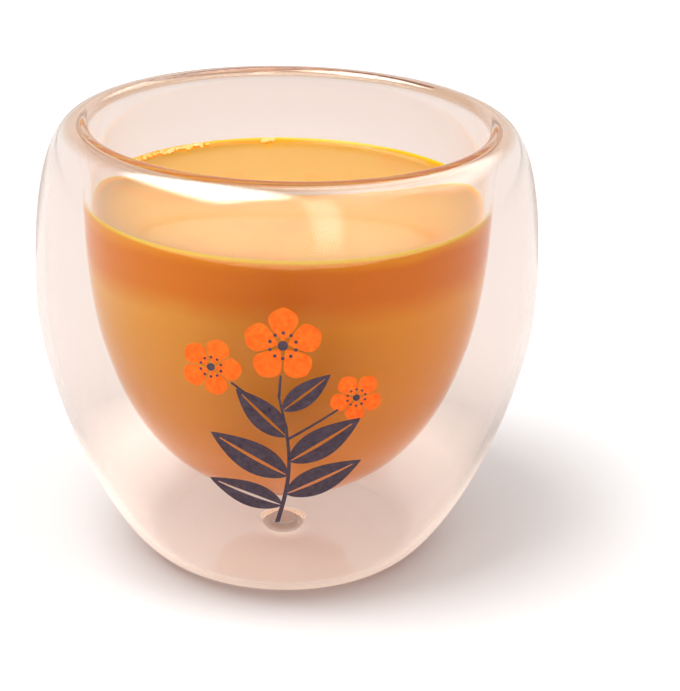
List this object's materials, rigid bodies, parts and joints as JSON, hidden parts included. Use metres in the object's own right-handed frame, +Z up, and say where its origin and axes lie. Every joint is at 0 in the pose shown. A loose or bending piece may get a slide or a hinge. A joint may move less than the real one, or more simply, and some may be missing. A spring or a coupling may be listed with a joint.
{
  "type": "tea glass",
  "caption": "Round-bellied double-walled glass with a fused lip, a flat foot and a sealed vent, holding milky tea below an open mouth.",
  "frame": {"origin": "middle of the foot, on the table", "axes": "+Z up along the axis of revolution, through the middle of the mouth; -Y is the side with the print, which faces the picture's camera"},
  "size_m": [0.09, 0.09, 0.0806],
  "materials": {
    "borosilicate_glass": "clear blown borosilicate with a faint warm tint, fire-polished",
    "silicone": "moulded translucent silicone, matt",
    "milk_tea": "milky orange-brown tea with a still, glossy surface"
  },
  "bodies": {
    "root": {"outer_wall": "borosilicate_glass", "inner_bowl": "borosilicate_glass", "fused_lip": "borosilicate_glass", "vent_plug": "silicone", "tea": "milk_tea"}
  },
  "joints": []
}
